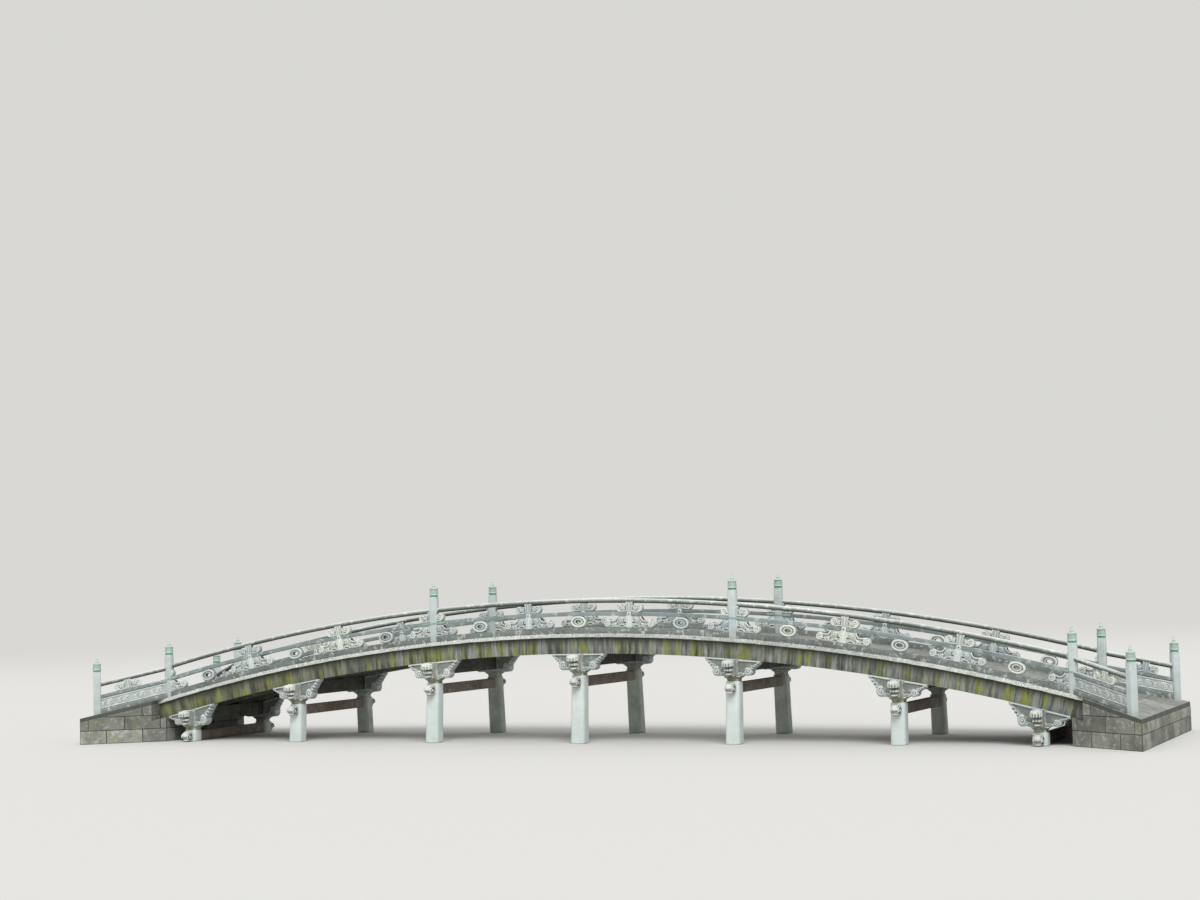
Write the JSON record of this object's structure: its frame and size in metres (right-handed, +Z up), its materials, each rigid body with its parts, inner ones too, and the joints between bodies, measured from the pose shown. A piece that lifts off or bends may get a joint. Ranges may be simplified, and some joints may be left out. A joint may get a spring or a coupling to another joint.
{
  "type": "arched stone garden footbridge with carved railings",
  "caption": "Low arched stone footbridge on two-column bents, with carved cloud and ring railings, capped posts and splayed wings.",
  "frame": {"origin": "middle of the bridge, on the level surface that the columns stand on", "axes": "+X along the bridge, +Y across it to the rear, +Z up"},
  "size_m": [20.6, 4.8252, 2.9908],
  "materials": {
    "column_granite": "fine-tooled, speckled",
    "carved_stone": "carved, weathered",
    "head_stone": "carved, pale lichen",
    "mossy_stone": "rough, mossy",
    "dark_stone": "rough, damp",
    "beam_stone": "smooth, streaked with moss",
    "lip_stone": "rough, white lichen",
    "deck_stone": "rough-tooled",
    "curb_stone": "rough-tooled",
    "rail_stone": "smooth, weathered",
    "post_stone": "fine-tooled",
    "panel_stone": "carved, weathered",
    "cap_copper": "verdigris",
    "strap_copper": "verdigris",
    "masonry": "rough-dressed blocks"
  },
  "bodies": {
    "root": {"columns_front": "column_granite", "columns_rear": "column_granite", "tie_beams": "dark_stone", "cap_beams": "dark_stone", "inner_beams": "dark_stone", "tie_noses_front": "head_stone", "tie_noses_rear": "head_stone", "beam_heads_front": "head_stone", "beam_heads_rear": "head_stone", "neck_blocks_front": "mossy_stone", "neck_blocks_rear": "mossy_stone", "brackets_front": "carved_stone", "brackets_rear": "carved_stone", "cloud_feet_front": "carved_stone", "cloud_feet_rear": "carved_stone", "cloud_heads_front": "carved_stone", "cloud_heads_rear": "carved_stone", "ring_stones_front": "carved_stone", "ring_stones_rear": "carved_stone", "wing_clouds": "carved_stone", "edge_beam_front": "beam_stone", "edge_beam_rear": "beam_stone", "deck_slabs": "deck_stone", "landings": "deck_stone", "deck_lip_front": "lip_stone", "deck_lip_rear": "lip_stone", "curb_front": "curb_stone", "curb_rear": "curb_stone", "wing_curbs": "curb_stone", "posts_front": "post_stone", "posts_rear": "post_stone", "wing_posts": "post_stone", "post_caps_front": "cap_copper", "post_caps_rear": "cap_copper", "wing_caps": "cap_copper", "round_rail_front": "rail_stone", "round_rail_rear": "rail_stone", "flat_rail_front": "rail_stone", "flat_rail_rear": "rail_stone", "wing_flat_rails": "rail_stone", "wing_round_rails": "rail_stone", "rail_straps_front": "strap_copper", "rail_straps_rear": "strap_copper", "abutments": "masonry", "wing_panels": "panel_stone"}
  },
  "joints": []
}
